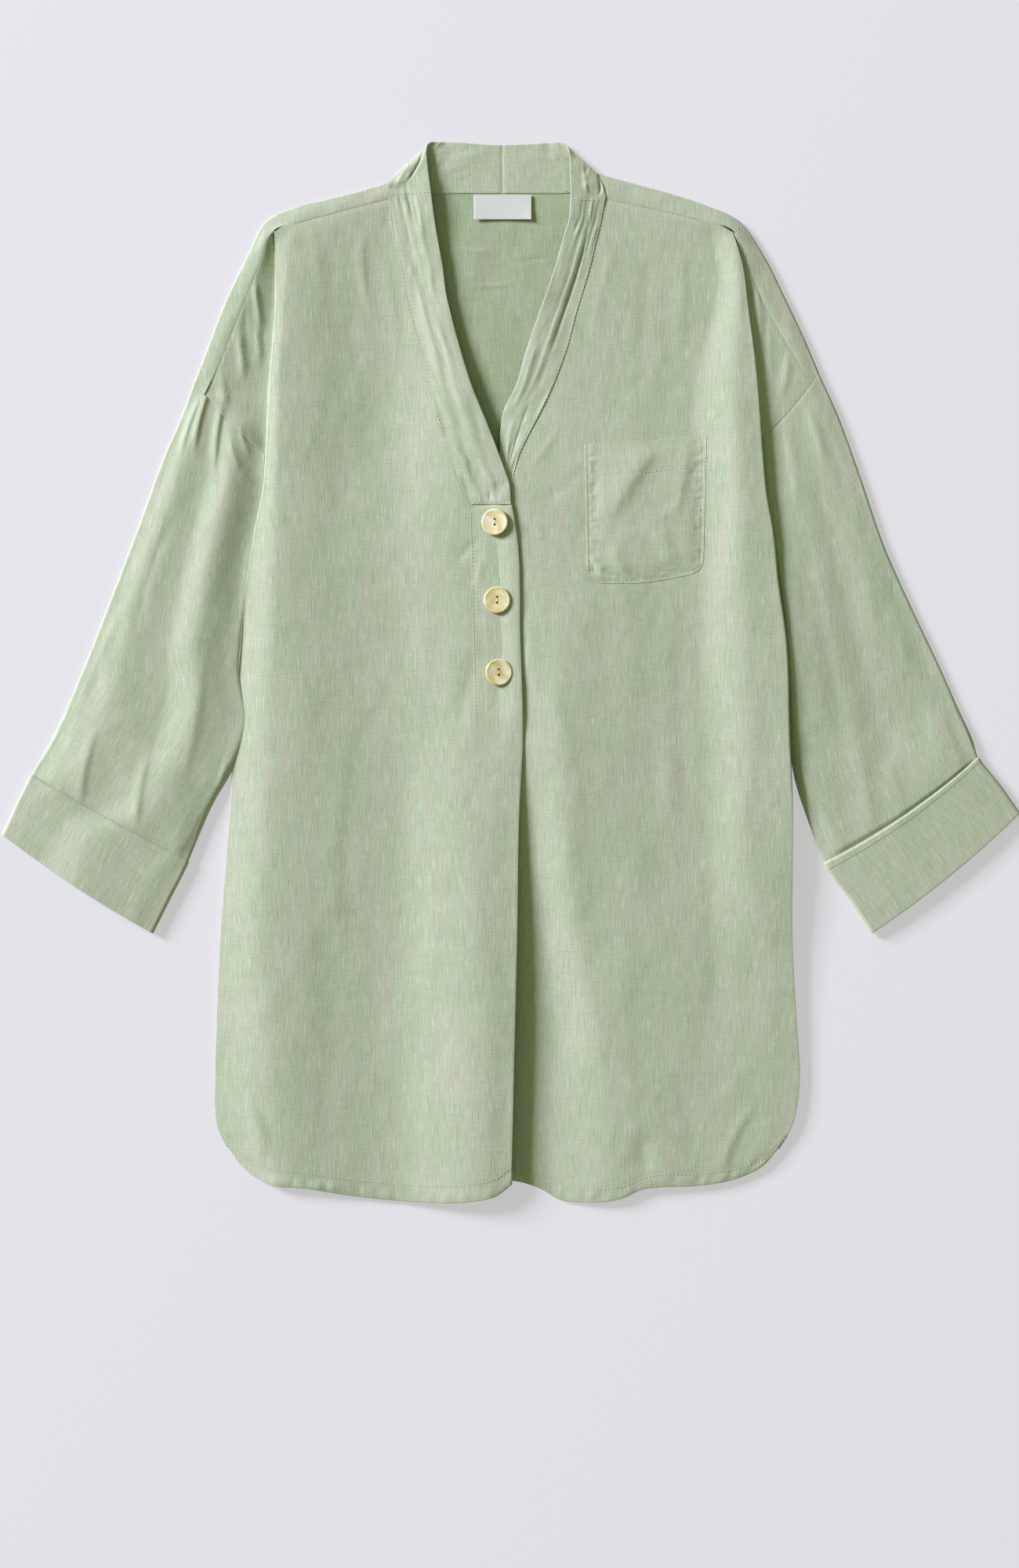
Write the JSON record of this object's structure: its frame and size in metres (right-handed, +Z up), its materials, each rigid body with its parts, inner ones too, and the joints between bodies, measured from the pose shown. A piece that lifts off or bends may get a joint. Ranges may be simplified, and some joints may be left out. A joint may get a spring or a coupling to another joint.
{
  "type": "tunic top",
  "caption": "Linen popover tunic top laid flat, with a soft banded V neck, button placket above a released pleat, chest pocket and wide turned-up sleeves.",
  "frame": {"origin": "on the surface that the garment lies on, below the middle of its outline", "axes": "+Z up, out of the surface; +Y from the hem to the collar; +X towards the wearer's left, which is on the right as the garment is looked at"},
  "size_m": [0.8056, 0.8373, 0.0144],
  "materials": {
    "linen": "plain-woven slub linen, washed soft, sage green",
    "label": "woven satin tape, white, bare",
    "shell": "polished yellowish shell"
  },
  "bodies": {
    "root": {"back_panel": "linen", "front_right": "linen", "front_left": "linen", "sleeve_right": "linen", "sleeve_left": "linen", "cuff_right": "linen", "cuff_left": "linen", "collar_front_right": "linen", "collar_front_left": "linen", "collar_back_right": "linen", "collar_back_left": "linen", "pocket": "linen", "label": "label", "button_1": "shell", "button_2": "shell", "button_3": "shell"}
  },
  "joints": []
}
